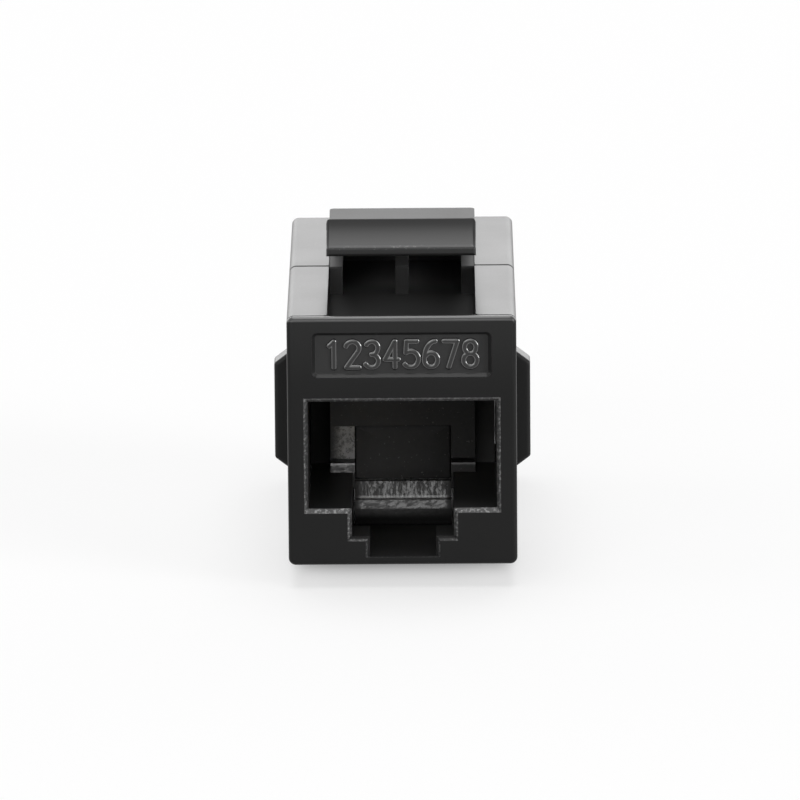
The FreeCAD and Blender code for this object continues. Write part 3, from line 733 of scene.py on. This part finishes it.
def add_pin_numbers(material):
    """The numbers 1 to 8 over the port, raised on the label field."""
    digits = digit_strokes()
    scale = DIGIT_HEIGHT / 2
    first_x = -DIGIT_PITCH * (len(digits) - 1) / 2
    vertices = []
    faces = []
    count = 0
    for index, strokes in enumerate(digits):
        corner = np.array((first_x + index * DIGIT_PITCH - scale / 2, LABEL_MIDDLE_Z - scale))
        for stroke in strokes:
            points, ridge = stroke_ridge(corner + stroke * scale, count)
            vertices.append(points)
            faces.extend(ridge)
            count += len(points)
    piece = new_piece("pin_numbers", np.vstack(vertices), faces, material)
    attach(piece, "housing")


def recess_panel(hand):
    """A flat lozenge with a squarish outline on a recess's back wall: its vertices and faces.

    A point is (w s cos(a)^q, wall - t g, middle + h s sin(a)^q), with signed powers and q = 2 / squareness.
    The rings go from the front's middle out to the rim and back behind: s is their size and g their rise.
    hand is 1 in the front port and -1 in the rear one, which is turned half round.
    """
    size = np.array(PANEL_RING_SIZES)
    rise = np.array(PANEL_RING_RISES)
    angle = 2 * np.pi * np.arange(PANEL_SIDES) / PANEL_SIDES
    power = 2 / PANEL_SQUARENESS
    out_x = np.sign(np.cos(angle)) * np.abs(np.cos(angle)) ** power
    out_z = np.sign(np.sin(angle)) * np.abs(np.sin(angle)) ** power
    half_width = RECESS_WIDTH / 2 - PANEL_GAP
    half_height = (RECESS_HIGH_Z - RECESS_LOW_Z) / 2 - PANEL_GAP
    middle_z = (RECESS_HIGH_Z + RECESS_LOW_Z) / 2
    wall = FRONT_Y + RECESS_WALL_DEPTH - SEAM_Y
    x = np.outer(size, out_x) * half_width
    y = np.repeat((wall - rise * PANEL_THICKNESS)[:, None], PANEL_SIDES, axis=1)
    z = np.outer(size, out_z) * half_height + middle_z
    rings = np.stack((hand * x, SEAM_Y + hand * y, z), axis=2).reshape(-1, 3)
    pole_y = SEAM_Y + hand * np.array([wall - PANEL_THICKNESS, wall])
    poles = np.column_stack((np.zeros(2), pole_y, np.full(2, middle_z)))
    return np.vstack((rings, poles)), closed_faces(len(size), PANEL_SIDES)


def add_recess_panels(material):
    """The smooth back wall of the recess in each contact carrier."""
    for name, hand in (("front_recess_panel", 1), ("rear_recess_panel", -1)):
        vertices, faces = recess_panel(hand)
        piece = new_piece(name, vertices, faces, material)
        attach(piece, "housing")


def add_floor(material):
    """A disc below the object: r = R u^2 and a = 2 pi v, on a grid of rings and sectors."""
    radius = FLOOR_RADIUS * (np.arange(1, FLOOR_RINGS + 1) / FLOOR_RINGS) ** 2
    angle = 2 * np.pi * np.arange(FLOOR_SECTORS) / FLOOR_SECTORS
    x = np.outer(radius, np.cos(angle))
    y = np.outer(radius, np.sin(angle))
    rings = np.stack((x, y, np.zeros_like(x)), axis=2).reshape(-1, 3)
    vertices = np.vstack((rings, np.zeros((1, 3))))
    faces = ring_quads(FLOOR_RINGS, FLOOR_SECTORS) + pole_fan(len(rings), np.arange(FLOOR_SECTORS))
    floor = new_piece("studio_floor", vertices, faces, material)


def dot(direction, way):
    """How far a direction goes along a fixed one."""
    sockets = {0: direction, 1: way}
    return direction.node("ShaderNodeVectorMath", {"operation": "DOT_PRODUCT"}, sockets).output("Value")


def soft_box(direction, azimuth, elevation, half_width, half_height, level):
    """A rectangular soft box on the sky, bright in its middle and faded towards its edges."""
    turn, rise = math.radians(azimuth), math.radians(elevation)
    forward = Vector((math.sin(turn) * math.cos(rise), math.cos(turn) * math.cos(rise), math.sin(rise)))
    right = Vector((math.cos(turn), -math.sin(turn), 0.0))
    ahead, sideways, upward = [dot(direction, way) for way in (forward, right, right.cross(forward))]
    light = (ahead > 0.0) * level
    for offset, half in ((sideways, half_width), (upward, half_height)):
        edge = math.tan(math.radians(half))
        off_axis = abs(offset) / ahead
        light = light * off_axis.step(edge * (1 + BOX_SOFTNESS), edge * (1 - BOX_SOFTNESS))
    return light


def shown_directly(start):
    """1 for what the camera sees straight, mirrored or through glass, 0 for light that only fills."""
    path = start.node("ShaderNodeLightPath")
    seen = path.output("Is Camera Ray") + path.output("Is Glossy Ray") + path.output("Is Transmission Ray")
    return seen.math("MINIMUM", seen, 1.0)


def light_studio():
    """Light by direction: a white room that fills softly, with soft boxes above, behind and around."""
    world = bpy.data.worlds.new("studio")
    world.use_nodes = True
    world.node_tree.nodes.clear()
    bpy.context.scene.world = world
    start = Wire(world.node_tree)
    direction = start.node("ShaderNodeTexCoord").output("Generated")
    level = ROOM_FILL + shown_directly(start) * (ROOM_WHITE - ROOM_FILL)
    for box in SOFT_BOXES.values():
        level = level + soft_box(direction, *box)
    background = start.node("ShaderNodeBackground", None, {"Color": grey(1.0), "Strength": level})
    start.node("ShaderNodeOutputWorld", None, {"Surface": background})


def add_camera():
    """A long lens in front of the port, a little above it, framed so that the face lands on its pixel."""
    face = Vector((0.0, FRONT_Y, (NOSE_Z + TOP_Z) / 2))
    right = Vector((math.cos(VIEW_TURN), math.sin(VIEW_TURN), 0.0))
    level = Vector((math.sin(VIEW_TURN), -math.cos(VIEW_TURN), 0.0))
    back = level * math.cos(VIEW_ELEVATION) + Vector((0.0, 0.0, math.sin(VIEW_ELEVATION)))
    up = back.cross(right)
    pixel = VIEW_DISTANCE / FOCAL_PIXELS
    pixels_right, pixels_down = [value - PHOTO_SIDE / 2 for value in FACE_PIXEL]
    aim = face - right * pixels_right * pixel + up * pixels_down * pixel
    data = bpy.data.cameras.new("photo_view")
    data.sensor_width = SENSOR_WIDTH
    data.lens = FOCAL_PIXELS * SENSOR_WIDTH / PHOTO_SIDE
    camera = bpy.data.objects.new("photo_view", data)
    camera.location = face + back * VIEW_DISTANCE
    aimed = (aim - camera.location).to_track_quat("-Z", "Y")
    camera.rotation_mode = "QUATERNION"
    camera.rotation_quaternion = aimed @ Quaternion((0.0, 0.0, 1.0), VIEW_ROLL)
    bpy.context.scene.collection.objects.link(camera)
    bpy.context.scene.camera = camera


def dress_nodes(finishes):
    """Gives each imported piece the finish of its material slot."""
    for subpart in frame["record"]["subparts"]:
        node = frame["nodes"][subpart["node"]]
        for slot in node.material_slots:
            slot.material = finishes[subpart["material_slot"]]


finishes = {
    "housing_black": satin_black(),
    "carrier_black": grained_black(),
    "contact_gold": gilt(),
    "board_green": solder_mask(),
}
dress_nodes(finishes)
add_pin_numbers(gloss_black())
add_recess_panels(finishes["carrier_black"])
add_floor(studio_white())
light_studio()
add_camera()
bpy.context.scene.view_settings.view_transform = "Standard"
